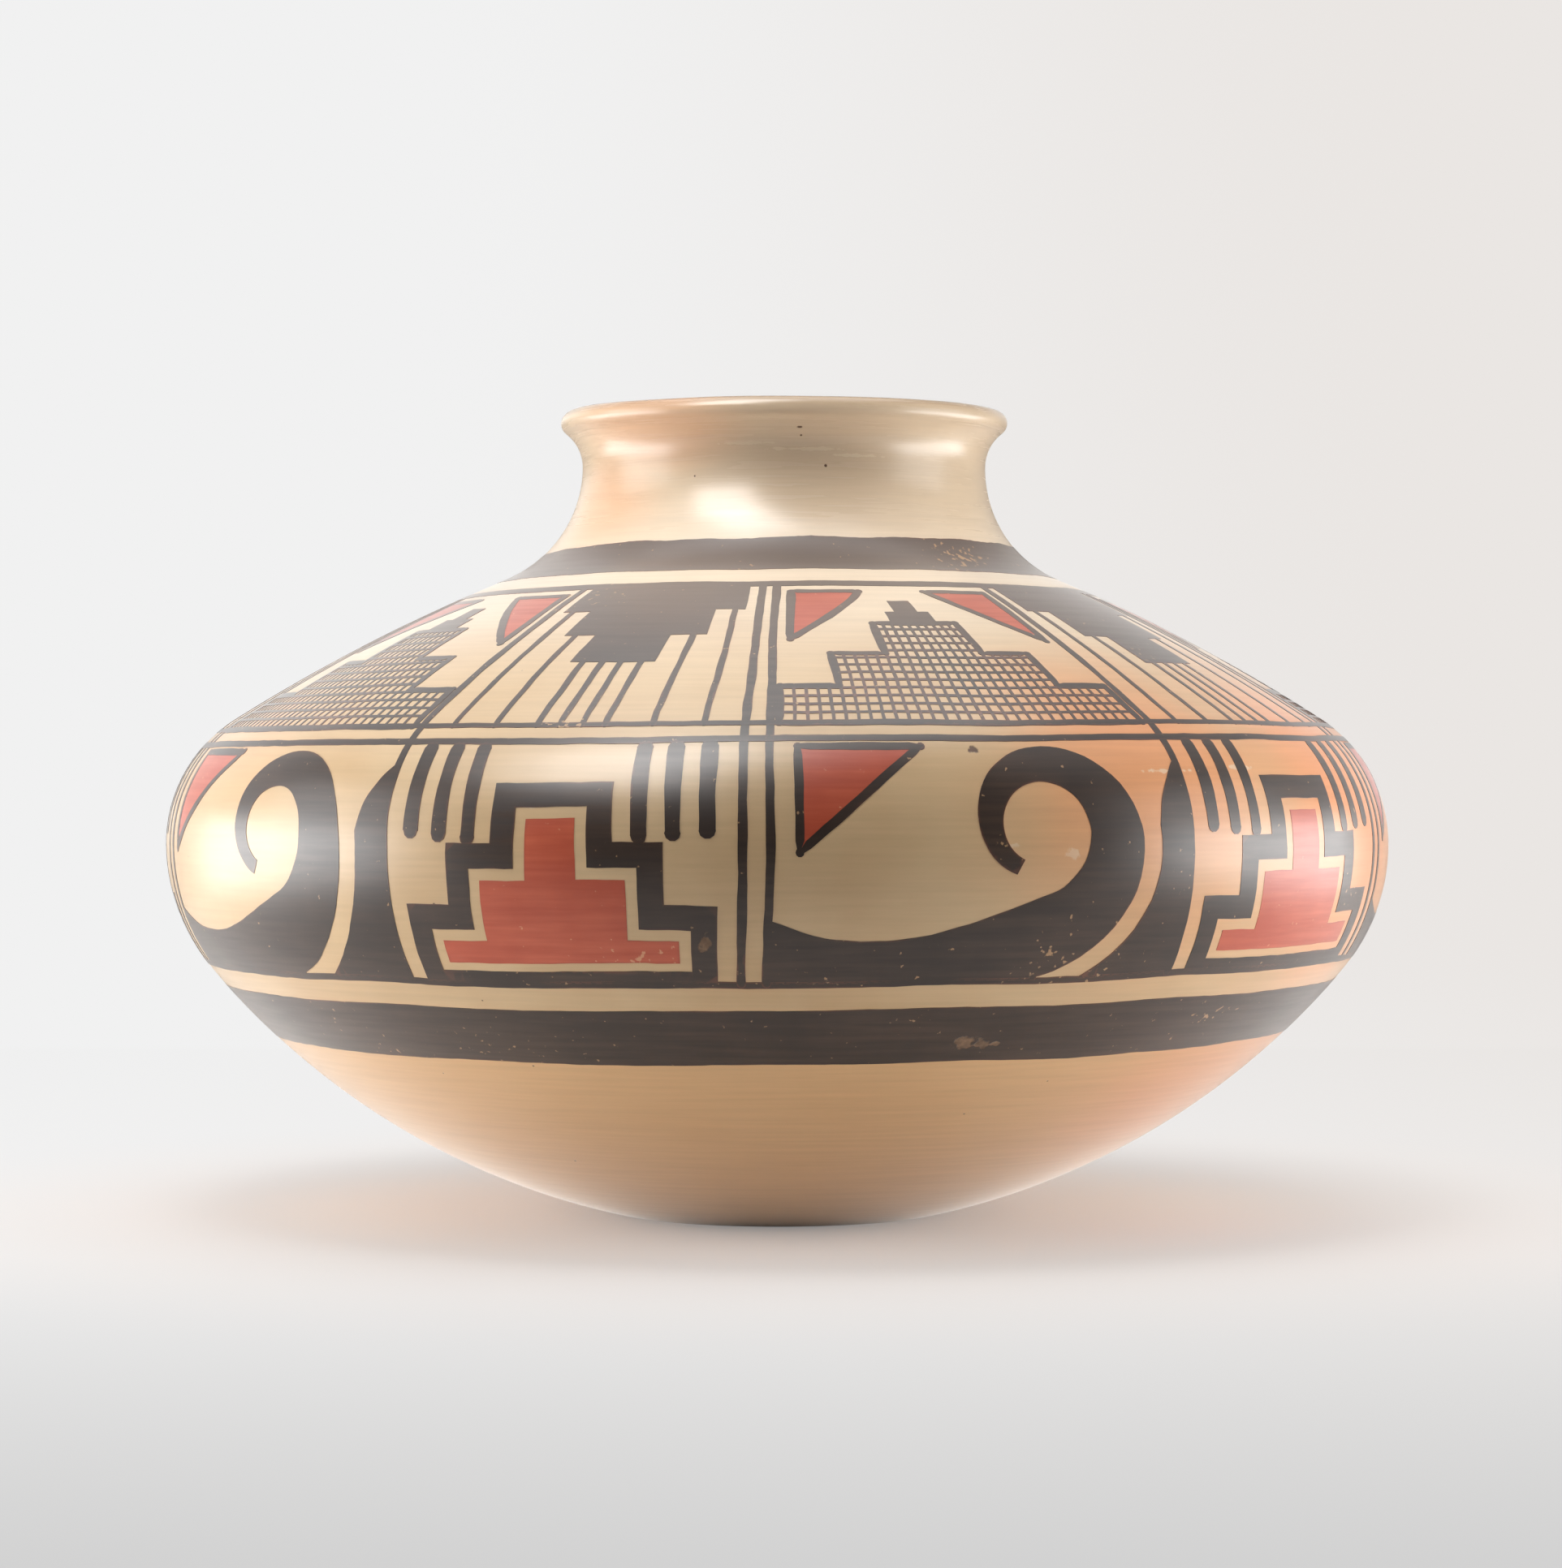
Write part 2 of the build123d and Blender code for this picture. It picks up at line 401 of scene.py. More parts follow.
def paint_tree():
    """Lays a flat film of paint, drawn in angle and station, on the wall."""
    inputs = {"Outline": "NodeSocketObject", "Film": "NodeSocketFloat", "Bed": "NodeSocketFloat"}
    tree, given, result = new_tree("lay_paint_on_wall", {**inputs, "Paint": "NodeSocketMaterial"})
    drawn = add(tree, "GeometryNodeInputPosition")
    angle, station, _ = add(tree, "SeparateXYZ", {0: drawn}).node.outputs
    outline = add(tree, "GeometryNodeObjectInfo", {0: given["Outline"]}, "Geometry")
    wanted = {"Curves": outline, "Length": station}
    sample = add(tree, "GeometryNodeSampleCurve", wanted, mode="LENGTH", use_all_curves=True).node.outputs
    radius, _, height = add(tree, "SeparateXYZ", {0: sample["Position"]}).node.outputs
    lean, _, out = add(tree, "SeparateXYZ", {0: sample["Tangent"]}).node.outputs
    up = maths(tree, "MULTIPLY", lean, -1.0)
    sunk = maths(tree, "MULTIPLY", given["Bed"], -1.0)
    radius = maths(tree, "MULTIPLY_ADD", out, sunk, radius)
    height = maths(tree, "MULTIPLY_ADD", up, sunk, height)
    place, away = hand_made_place(tree, radius, height, angle)
    shape = noted(tree, given["Geometry"], {"station": station}, outward(tree, away, out, up))
    laid = add(tree, "GeometryNodeSetPosition", {0: shape, "Position": place})
    normal = add(tree, "GeometryNodeInputNamedAttribute", {0: "wall_normal"}, data_type="FLOAT_VECTOR")
    thick = maths(tree, "ADD", given["Film"], given["Bed"])
    raised = {"Mesh": laid, "Offset": normal, "Offset Scale": thick, "Individual": False}
    film = add(tree, "GeometryNodeExtrudeMesh", raised, "Mesh")
    under = add(tree, "GeometryNodeFlipFaces", {0: laid})
    joined = add(tree, "GeometryNodeJoinGeometry")
    for side in (film, under):
        tree.links.new(side, joined.node.inputs[0])
    tree.links.new(finished(tree, joined, given["Paint"]), result[0])
    return tree


def polish(mesh):
    """Gives faces along the wall the wall's own direction, so that no joint or edge of paint shows."""
    corners = np.empty(len(mesh.loops), int)
    mesh.loops.foreach_get("vertex_index", corners)
    wall = np.empty(len(mesh.vertices) * 3)
    mesh.attributes["wall_normal"].data.foreach_get("vector", wall)
    faces = np.empty(len(mesh.polygons) * 3)
    mesh.polygons.foreach_get("normal", faces)
    totals = np.empty(len(mesh.polygons), int)
    mesh.polygons.foreach_get("loop_total", totals)
    wall = wall.reshape(-1, 3)[corners]
    faces = np.repeat(faces.reshape(-1, 3), totals, axis=0)
    least_cosine = 0.6
    along = (wall * faces).sum(axis=1) > least_cosine
    mesh.normals_split_custom_set(np.where(along[:, None], wall, faces).tolist())
    mesh.attributes.remove(mesh.attributes["wall_normal"])


def grown(name, mesh, tree, values):
    """A piece made by a tree from a starting mesh, turned into a plain mesh."""
    piece = placed(name, mesh)
    modifier = piece.modifiers.new("shape", "NODES")
    modifier.node_group = tree
    for item in tree.interface.items_tree:
        if item.in_out == "INPUT" and item.name in values:
            modifier[item.identifier] = values[item.name]
    graph = bpy.context.evaluated_depsgraph_get()
    plain = bpy.data.meshes.new_from_object(
        piece.evaluated_get(graph), preserve_all_data_layers=True, depsgraph=graph
    )
    piece.modifiers.clear()
    piece.data = plain
    plain.name = name
    polish(plain)
    return piece


def section_mesh(name, rows):
    """The section of a coil as a line of points, with the direction of the wall at each."""
    mesh = bpy.data.meshes.new(name + "_section")
    places = [(radius * MM, mark * MM, height * MM) for radius, height, _, _, _, mark in rows]
    mesh.from_pydata(places, [(i, i + 1) for i in range(len(rows) - 1)], [])
    slope = mesh.attributes.new("slope", "FLOAT_VECTOR", "POINT")
    slope.data.foreach_set("vector", [n for row in rows for n in (row[2], row[3], row[4] * MM)])
    return mesh


# Paint: areas drawn flat, in millimetres round the belly and up the wall


def hand(angle, station):
    """How far the brush strays from its line, in millimetres round and up."""
    around = Vector((math.cos(angle) * CHART_RADIUS, math.sin(angle) * CHART_RADIUS, station))
    slow = noise.noise_vector(around / SLOW_LENGTH)
    quick = noise.noise_vector(around / QUICK_LENGTH)
    drift = RING_BOW * (station - RING_MIDDLE) * math.cos(angle) + RING_RISE * math.sin(angle)
    return SLOW_ROUND * slow.x + QUICK_STRAY * quick.x, drift + SLOW_UP * slow.y + QUICK_STRAY * quick.y


def flat_mesh(name, places, faces, edge):
    """A flat mesh in angle and station, with how far each point lies inside the edge of the paint."""
    flat = []
    for x, station in places:
        angle = x / CHART_RADIUS
        across, up = hand(angle, station)
        local = max(float(np.interp(station, OUTLINE[:, 0], OUTLINE[:, 1])), 1.0)
        flat.append((angle + across / local, (station + up) * MM, 0))
    mesh = bpy.data.meshes.new(name + "_drawing")
    mesh.from_pydata(flat, [], faces)
    mesh.attributes.new("edge", "FLOAT", "POINT").data.foreach_set("value", edge)
    return mesh


def ring_drawing(name, rings):
    """Rings painted right round the jar."""
    places, faces, edge = [], [], []
    columns = math.ceil(2 * math.pi * CHART_RADIUS / BRUSH_STEP)
    for low, high in rings:
        inner = rows_between(low + THIN_EDGE, high - THIN_EDGE, FILL_STEP)
        rows = [low, *inner, high]
        start = len(places)
        for station in rows:
            for column in range(columns):
                places.append(((column / columns * 2 - 1) * math.pi * CHART_RADIUS, station))
                edge.append(min(station - low, high - station))
        for i in range(len(rows) - 1):
            for j in range(columns):
                left, right = start + i * columns + j, start + i * columns + (j + 1) % columns
                faces.append((left, right, right + columns, left + columns))
    return flat_mesh(name, places, faces, edge)


def divided(points, closed=False):
    """The same line with points no further apart than a brush step."""
    points = [Vector(p) for p in points]
    ends = points[1:] + points[:1] if closed else points[1:]
    fine = []
    for start, end in zip(points, ends):
        count = math.ceil((end - start).length / BRUSH_STEP)
        fine += [start.lerp(end, i / count) for i in range(count)]
    return fine if closed else fine + points[-1:]


def squeeze(station):
    """How much narrower a degree is at a station than round the belly."""
    return float(np.interp(station, OUTLINE[:, 0], OUTLINE[:, 1])) / CHART_RADIUS


def stroke(points, width, closed=False):
    """A brush line as short areas side by side with round ends and corners, and its middle points."""
    line = divided(points, closed)
    count = len(line)
    sides = []
    for i, point in enumerate(line):
        before = line[i - 1] if closed or i else point
        after = line[(i + 1) % count] if closed or i < count - 1 else point
        local = squeeze(point.y)
        way = Vector(((after.x - before.x) * local, after.y - before.y)).normalized()
        swell = 1 + SWELL * noise.noise(Vector((point.x, point.y, SWELL_LAYER)) / SWELL_LENGTH)
        half = Vector((-way.y / local, way.x)) * width / 2 * swell
        sides.append((point + half, point - half))
    last = count if closed else count - 1
    areas = []
    for i in range(last):
        (left, right), (next_left, next_right) = sides[i], sides[(i + 1) % count]
        areas.append([right, next_right, next_left, left])
    corners = [] if closed else [line[0], line[-1]]
    for i in range(0 if closed else 1, last):
        first, second = line[i] - line[i - 1], line[(i + 1) % count] - line[i]
        if first.angle(second) > SHARP_TURN:
            corners.append(line[i])
    for corner in corners:
        local = squeeze(corner.y)
        turns = [2 * math.pi * k / CAP_SIDES for k in range(CAP_SIDES)]
        cap = [Vector((math.cos(a) / local, math.sin(a))) * width / 2 for a in turns]
        areas.append([corner + p for p in cap])
    return areas, line


def smooth(points, steps=8):
    """A smooth line through points."""
    points = [Vector(p) for p in points]
    ends = [points[0], *points, points[-1]]
    line = []
    for before, start, end, after in zip(ends, ends[1:], ends[2:], ends[3:]):
        first, second = start + (end - before) / 6, end - (after - start) / 6
        line += geometry.interpolate_bezier(start, first, second, end, steps)[:-1]
    return [p.to_2d() for p in line] + [points[-1]]


def hatching(corners, lean, spacing, width):
    """Parallel brush lines across an area, leaning by an angle in degrees."""
    turn = math.radians(lean)
    along, across = Vector((math.cos(turn), math.sin(turn))), Vector((-math.sin(turn), math.cos(turn)))
    levels = [p.dot(across) for p in corners]
    areas, middles = [], []
    level = min(levels) + spacing + (LINE - width) / 2
    while level < max(levels) - LINE:
        cuts = []
        for start, end in zip(corners, corners[1:] + corners[:1]):
            low, high = start.dot(across) - level, end.dot(across) - level
            if (low < 0) != (high < 0):
                cuts.append(start.lerp(end, low / (low - high)).dot(along))
        cuts.sort()
        for first, second in zip(cuts[::2], cuts[1::2]):
            if second - first > width:
                ends = [along * first + across * level, along * second + across * level]
                line_areas, line = stroke(ends, width)
                areas += line_areas
                middles += line
        level += spacing
    return areas, middles


def inside(points, area):
    """Which of some points lie inside an area."""
    starts = np.array(area)
    ends = np.roll(starts, -1, axis=0)
    found = np.all((points > starts.min(axis=0)) & (points < starts.max(axis=0)), axis=1)
    x, y = points[found][:, :1], points[found][:, 1:]
    crossed = (starts[:, 1] > y) != (ends[:, 1] > y)
    rise = np.where(ends[:, 1] == starts[:, 1], 1.0, ends[:, 1] - starts[:, 1])
    right = starts[:, 0] + (y - starts[:, 1]) * (ends[:, 0] - starts[:, 0]) / rise > x
    found[found] = (crossed & right).sum(axis=1) % 2 == 1
    return found


def area_drawing(name, units):
    """One flat film for all the areas of each unit, with points inside for the bend of the wall."""
    places, faces, edge = [], [], []
    for areas, middles in units:
        points, sides = [], []
        for area in areas:
            first, count = len(points), len(area)
            sides += [(first + i, first + (i + 1) % count) for i in range(count)]
            points += [p.to_2d() for p in area]
        low = [min(p[k] for p in points) for k in (0, 1)]
        high = [max(p[k] for p in points) for k in (0, 1)]
        points += [p.to_2d() for p in middles]
        for i in range(int((high[0] - low[0]) / FILL_STEP)):
            for j in range(int((high[1] - low[1]) / FILL_STEP)):
                across, up = i + 0.5 + 0.25 * (j % 2), j + 0.5
                points.append(Vector((low[0] + across * FILL_STEP, low[1] + up * FILL_STEP)))
        found, _, triangles, _, _, _ = geometry.delaunay_2d_cdt(points, sides, [], 0, CLOSE, True)
        triangles = np.array([tuple(t) for t in triangles])
        centres = np.array([tuple(p) for p in found])[triangles].mean(axis=1)
        painted = np.any([inside(centres, [tuple(p) for p in area]) for area in areas], axis=0)
        kept = [tuple(t) for t in triangles[painted].tolist()]
        borders = {}
        for triangle in kept:
            for a, b in zip(triangle, triangle[1:] + triangle[:1]):
                borders[(min(a, b), max(a, b))] = borders.get((min(a, b), max(a, b)), 0) + 1
        rim = {v for pair, uses in borders.items() if uses == 1 for v in pair}
        tree = kdtree.KDTree(len(rim))
        for v in rim:
            tree.insert(found[v].to_3d(), v)
        tree.balance()
        used = sorted({v for t in kept for v in t})
        renumber = {v: len(places) + i for i, v in enumerate(used)}
        places += [tuple(found[v]) for v in used]
        edge += [0.0 if v in rim else tree.find(found[v].to_3d())[2] for v in used]
        faces += [tuple(renumber[v] for v in t) for t in kept]
    return flat_mesh(name, places, faces, edge)


def terrace(middle, base, steps):
    """Corners of a stepped cloud: half widths in degrees, each up or down to a level in millimetres."""
    right, level = [], base
    for half, top in steps:
        right += [(half, level), (half, top)]
        level = top
    corners = right + [(-half, level) for half, level in reversed(right)]
    return [Vector(((middle + half) * CHART, level)) for half, level in corners]


def wave_scroll(centre, reach):
    """A breaking wave: a band that curls in on itself, where it starts, and a line behind its back."""
    # It starts straight down, shrinks evenly as it turns, and ends in a blunt tip before a full turn
    turns = [i / 60 for i in range(56)]
    lead, shrink, gap, tip, back_turn = -0.25, 1.2, reach * 0.13, 0.9, 0.26
    outer, inner, back = [], [], []
    for turn in turns:
        ray = Vector((math.cos((turn + lead) * 2 * math.pi), math.sin((turn + lead) * 2 * math.pi)))
        far = reach * math.exp(-shrink * turn)
        near = far * math.exp(-shrink) + gap
        outer.append(centre + ray * far)
        inner.append(centre + ray * min(near, far - tip))
        if turn < back_turn:
            back.append(centre + ray * (far + gap * 1.1))
    return outer + inner[:1:-1], inner[2], back


def frieze_unit(start):
    """One repeat of the frieze from an angle in degrees: what is painted black and what is painted red."""
    black, middles, red = [], [], []

    def at(degrees, station):
        return Vector(((start + degrees) * CHART, station))

    def fill(areas, outline):
        areas.append(divided(outline, True))

    def draw(points, width=LINE, closed=False):
        areas, line = stroke(points, width, closed)
        black.extend(areas)
        middles.extend(line)

    low, high = FRIEZE_LOW - FRAME_OVERLAP, FRIEZE_HIGH + FRAME_OVERLAP
    floor, ceiling = MIDDLE_LINES[1][1] - MIDDLE_OVERLAP, MIDDLE_LINES[0][0] + MIDDLE_OVERLAP

    # Lines that divide the panels, and the middles of the panels, in degrees
    first_line, second_line, third_line = 0, 2.2, 40
    wide_middle, narrow_middle = 21, 56
    for degrees in (first_line, second_line, third_line):
        draw([at(degrees, low), at(degrees, high)])

    # Breaking wave on the belly
    curl, neck, back = wave_scroll(at(25, FRIEZE_LOW + 34), 34.5)
    fill(black, curl)
    swell = [at(second_line, FRIEZE_LOW + 15), at(8, FRIEZE_LOW + 10.5), at(16, FRIEZE_LOW + 11), neck]
    fill(black, [at(second_line, low), Vector((neck.x, low)), *reversed(smooth(swell))])
    behind = [p for p in back if p.y > low + 0.5]
    foot = Vector((behind[0].x - 1.5, low))
    top = behind[-1].y
    leaf = smooth([behind[-1], at(37.3, top + 6), at(38.5, top + 11.5), at(third_line, top + 16)])
    fill(black, [foot, *behind, *leaf[1:], at(third_line, low)])
    corner = [at(4.6, ceiling - 2), at(15.5, ceiling - 2), at(4.6, ceiling - 26)]
    fill(red, corner)
    draw(corner, closed=True)

    # Hatched cloud terrace between red points, on the shoulder
    steps = [(18, floor + 15), (12, floor + 30), (6, floor + 45)]
    cloud = terrace(start + wide_middle, floor - MIDDLE_OVERLAP, steps)
    for lean, spacing, width in HATCHES:
        areas, lines = hatching(cloud, lean, spacing, width)
        black.extend(areas)
        middles.extend(lines)
    draw(cloud, closed=True)
    fill(black, terrace(start + wide_middle, floor + 45, [(3.4, floor + 51), (1.8, floor + 57)]))
    for near, far in ((4.4, 15.5), (38.0, 26.9)):
        point = [at(near, high - 4), at(far, high - 4), at(near, high - 30)]
        fill(red, point)
        draw(point, closed=True)

    # Red terrace under hanging bars, on the belly
    steps = [(14, FRIEZE_LOW + 18), (9.6, FRIEZE_LOW + 31.5), (5.4, FRIEZE_LOW + 45)]
    outer = terrace(start + narrow_middle, low, steps)
    steps = [(11.8, FRIEZE_LOW + 12.4), (7.4, FRIEZE_LOW + 25.9), (3.2, FRIEZE_LOW + 39.4)]
    inner = terrace(start + narrow_middle, FRIEZE_LOW + 2.5, steps)
    fill(black, [*outer, outer[0], *reversed(inner), inner[-1]])
    steps = [(10.8, FRIEZE_LOW + 9.8), (6.4, FRIEZE_LOW + 23.3), (2.2, FRIEZE_LOW + 36.8)]
    fill(red, terrace(start + narrow_middle, FRIEZE_LOW + 4.5, steps))
    for degrees in (42.8, 45.6, 48.4, 63.6, 66.4, 69.2):
        length = 24 - abs(degrees - narrow_middle) * 0.2
        draw([at(degrees, ceiling - 1.6), at(degrees, ceiling - length)], BAR)

    # Black cloud with falling rain, on the shoulder
    fill(black, terrace(start + narrow_middle, high, [(14, high - 14), (9.5, high - 27), (5, high - 40)]))
    rain = [(43.6, 13), (48.2, 26), (52.6, 39), (54.9, 39), (57.1, 39), (59.4, 39), (63.8, 26), (68.4, 13)]
    for degrees, top in rain:
        draw([at(degrees, high - top), at(degrees, floor - MIDDLE_OVERLAP)], RAIN_LINE)
    return (black, middles), (red, [])


# Materials of the jar and of the paper that it stands on

# Light that a rubbed surface scatters along itself
HAZE = {"Sheen Weight": 0.7, "Sheen Roughness": 0.35}

# Above the belly, from station to station, clay and black paint are painted paler: painted sheen, as from
# the light above
PAINTED_SHEEN = (196.0, 246.0)
# The neck has less painted sheen, by a quarter from station to station
NECK_SPAN = (268.0, 290.0)
# Painted shade darkens the top of the lip, from station to station
LIP_TOP_SHADE = (WALL_LENGTH + 2.4, WALL_LENGTH + 4.6)

# Marks of use, each an azimuth in degrees, a station, and a width and a height in millimetres
BELLY_SCUFFS = [(28, 153.5, 7, 5), (25, 151.5, 4, 3), (18.5, 153.5, 8, 1.4), (-21, 163, 5, 3)]
BELLY_SCRATCHES = [(36, 170.5, 16, 1.2), (45.5, 171.5, 10, 1.4)]
NECK_SCRATCHES = [(-8, 301.4, 16, 0.9), (7, 300, 22, 1), (21, 298.6, 15, 0.9)]
PALE_SCUFFS = [*BELLY_SCUFFS, *BELLY_SCRATCHES, *NECK_SCRATCHES]
PITS = [
    (17.2, 175.8, 3, 2.6),
    (6, 305.5, 1.8, 0.8),
    (30.5, 291.5, 1.0, 1.0),
    (13, 296, 0.8, 0.8),
    (-30, 140, 1.6, 1.6),
]
CHIPS = [
    (18.4, 103, 6.4, 3.6),
    (20.2, 102.8, 5, 2.4),
    (21.6, 102.6, 3.4, 1.4),
    (-6, 132, 3.5, 4.5),
    (40.7, 152.6, 3, 3),
]
RUBBED = [(45, 270.7, 24, 10), (-20, 184.5, 16, 5), (47, 109, 18, 6), (-12, 128, 20, 6)]
# Blushes from the fire: azimuth, station, width, height, strength
BLUSHES = [
    (64, 165, 150, 130, 1.0),
    (36, 172, 110, 110, 0.8),
    (62, 82, 130, 80, 0.7),
    (-36, 306, 60, 26, 0.35),
    (-54, 286, 44, 40, 0.35),
    (-62, 172, 70, 60, 0.3),
]


def new_material(name):
    """A material with an empty tree, the tree, and where a point lies on the jar."""
    material = bpy.data.materials.new(name)
    material.use_nodes = True
    tree = material.node_tree
    tree.nodes.clear()
    return material, tree, add(tree, "TexCoord", output="Object")


def nearest_mark(tree, place, marks):
    """How far a point is from the middle of the nearest mark, where the outline of the mark is at 1."""
    # It starts further away than any mark reaches
    nearest = 9.0
    for azimuth, station, width, height in marks:
        radius, level, _, _ = [float(v) for v in wall_at(station)]
        side = math.radians(azimuth)
        centre = (math.sin(side) * radius * MM, -math.cos(side) * radius * MM, level * MM)
        size = (2 / (width * MM), 2 / (width * MM), 2 / (height * MM))
        offset = add(tree, "VectorMath", {0: place, 1: centre}, operation="SUBTRACT")
        scaled = add(tree, "VectorMath", {0: offset, 1: size}, operation="MULTIPLY")
        reach = add(tree, "VectorMath", {0: scaled}, "Value", operation="LENGTH")
        nearest = maths(tree, "MINIMUM", nearest, reach)
    return nearest


def ragged_marks(tree, place, marks):
    """Where marks with an uneven outline lie, with crumbs about a millimetre wide."""
    crumbs = add(tree, "TexNoise", {"Vector": place, "Scale": 500.0, "Detail": 3.0})
    reach = nearest_mark(tree, place, marks)
    uneven = maths(tree, "MULTIPLY_ADD", crumbs, 2.4, reach)
    return ramp(tree, uneven, 2.1, 1.8)


def streaks(tree, place, station, around, upward):
    """Level streaks, with how many there are in a metre round the jar and in a metre up the wall."""
    x, y, _ = add(tree, "SeparateXYZ", {0: place}).node.outputs
    rub = add(tree, "CombineXYZ", {0: x, 1: y, 2: station})
    drawn_out = add(tree, "VectorMath", {0: rub, 1: (around, around, upward)}, operation="MULTIPLY")
    return add(tree, "TexNoise", {"Vector": drawn_out, "Scale": 1.0, "Detail": 3.0})


def with_painted_sheen(tree, station, body, pale, most):
    """A colour that grows paler up the shoulder: painted sheen."""
    share = eased(tree, station, PAINTED_SHEEN[0] * MM, PAINTED_SHEEN[1] * MM, 0.0, most)
    neck = eased(tree, station, NECK_SPAN[0] * MM, NECK_SPAN[1] * MM, 1.0, 0.75)
    share = maths(tree, "MULTIPLY", share, neck)
    return mixed_colour(tree, share, body, hex_colour(pale))


def rubbed_finish(tree, body, gloss, dents):
    """Ends a tree with a rubbed surface: a satin gloss with a slight haze, and shallow dents."""
    depth = maths(tree, "MULTIPLY", dents, -1.0)
    relief = add(tree, "Bump", {"Height": depth, "Strength": 0.3, "Distance": 0.2 * MM})
    look = {"Base Color": body, "Roughness": gloss, "Normal": relief, "IOR": 1.5, **HAZE}
    add(tree, "OutputMaterial", {0: add(tree, "BsdfPrincipled", look)})


def clay_material():
    """Fired yellow clay, rubbed with a stone: satin, with faint level streaks, blushes, scuffs and pits."""
    material, tree, place = new_material("burnished_clay")
    station = add(tree, "Attribute", output="Fac", attribute_name="station")
    # The stone leaves streaks about 1.3 mm high and 30 mm long
    streak = streaks(tree, place, station, 33.0, 770.0)
    # Cloudy patches about 40 mm across
    cloud = add(tree, "TexNoise", {"Vector": place, "Scale": 25.0, "Detail": 3.0})
    mixed = ramp(tree, cloud, 0.35, 0.7)
    body = mixed_colour(tree, mixed, hex_colour("#CFB28A"), hex_colour("#C3A278"))
    # Below the lower band the clay is bare of slip and a little browner
    bare = ramp(tree, station, LOWER_BAND[1] * MM, LOWER_BAND[0] * MM, 0.0, 0.7)
    body = mixed_colour(tree, bare, body, hex_colour("#DDB07D"))
    # Painted sheen: the clay paler up the shoulder
    body = with_painted_sheen(tree, station, body, "#E0D2C0", 0.55)
    # Painted shade on the top of the lip
    lip_top_shade = ramp(tree, station, LIP_TOP_SHADE[0] * MM, LIP_TOP_SHADE[1] * MM, 0.0, 0.75)
    # The fire blushes the clay orange, in soft patches that the clouds break up
    blush = 0.0
    for *mark, strength in BLUSHES:
        reach = nearest_mark(tree, place, [mark])
        reach = maths(tree, "MULTIPLY_ADD", cloud, 0.8, reach)
        glow = eased(tree, reach, 1.45, 0.6, 0.0, strength)
        blush = maths(tree, "MAXIMUM", blush, glow)
    for share, code in ((lip_top_shade, "#8E7150"), (blush, "#D98F5C")):
        body = mixed_colour(tree, share, body, hex_colour(code))
    rubbed = ramp(tree, streak, 0.3, 0.7, 0.95, 1.04)
    grey = add(tree, "CombineColor", {0: rubbed, 1: rubbed, 2: rubbed})
    body = mixed_colour(tree, 1.0, body, grey, "MULTIPLY")
    # Pinholes under half a millimetre wide, about 9 mm apart
    cells = add(tree, "TexVoronoi", {"Vector": place, "Scale": 110.0}).node.outputs
    hole = ramp(tree, cells["Distance"], 0.035, 0.02)
    pick = add(tree, "SeparateColor", {0: cells["Color"]})
    rare = maths(tree, "GREATER_THAN", pick, 0.6)
    hole = maths(tree, "MULTIPLY", hole, rare)
    pit = ragged_marks(tree, place, PITS)
    hole = maths(tree, "MAXIMUM", hole, pit)
    scuff = ragged_marks(tree, place, PALE_SCUFFS)
    scuff = maths(tree, "MULTIPLY", scuff, cloud)
    # Scuffs are paler; holes and pits are dark brown, painted shade inside them
    for share, code in ((scuff, "#DDCBAE"), (hole, "#5E4230")):
        body = mixed_colour(tree, share, body, hex_colour(code))
    gloss = ramp(tree, streak, 0.3, 0.7, 0.36, 0.31)
    # Hands have polished the neck and the lip
    polished = eased(tree, station, NECK_SPAN[0] * MM, NECK_SPAN[1] * MM, 0.0, -0.07)
    gloss = maths(tree, "ADD", gloss, polished)
    gloss = maths(tree, "MULTIPLY_ADD", scuff, 0.3, gloss)
    # The rubbing leaves no relief, and scuffs and holes are shallow dents
    dents = maths(tree, "ADD", hole, scuff)
    rubbed_finish(tree, body, gloss, dents)
    return material


def scraped_material():
    """The same clay inside the jar, scraped and left dull."""
    material, tree, place = new_material("scraped_clay")
    # The scraper leaves level grooves about 3 mm apart and 60 mm long
    drawn_out = add(tree, "VectorMath", {0: place, 1: (17.0, 17.0, 330.0)}, operation="MULTIPLY")
    groove = add(tree, "TexNoise", {"Vector": drawn_out, "Scale": 1.0, "Detail": 4.0})
    shade = ramp(tree, groove, 0.3, 0.7)
    body = mixed_colour(tree, shade, hex_colour("#A98258"), hex_colour("#C49C6E"))
    relief = add(tree, "Bump", {"Height": groove, "Strength": 0.5, "Distance": 0.5 * MM})
    look = {"Base Color": body, "Roughness": 0.75, "Normal": relief}
    add(tree, "OutputMaterial", {0: add(tree, "BsdfPrincipled", look)})
    return material


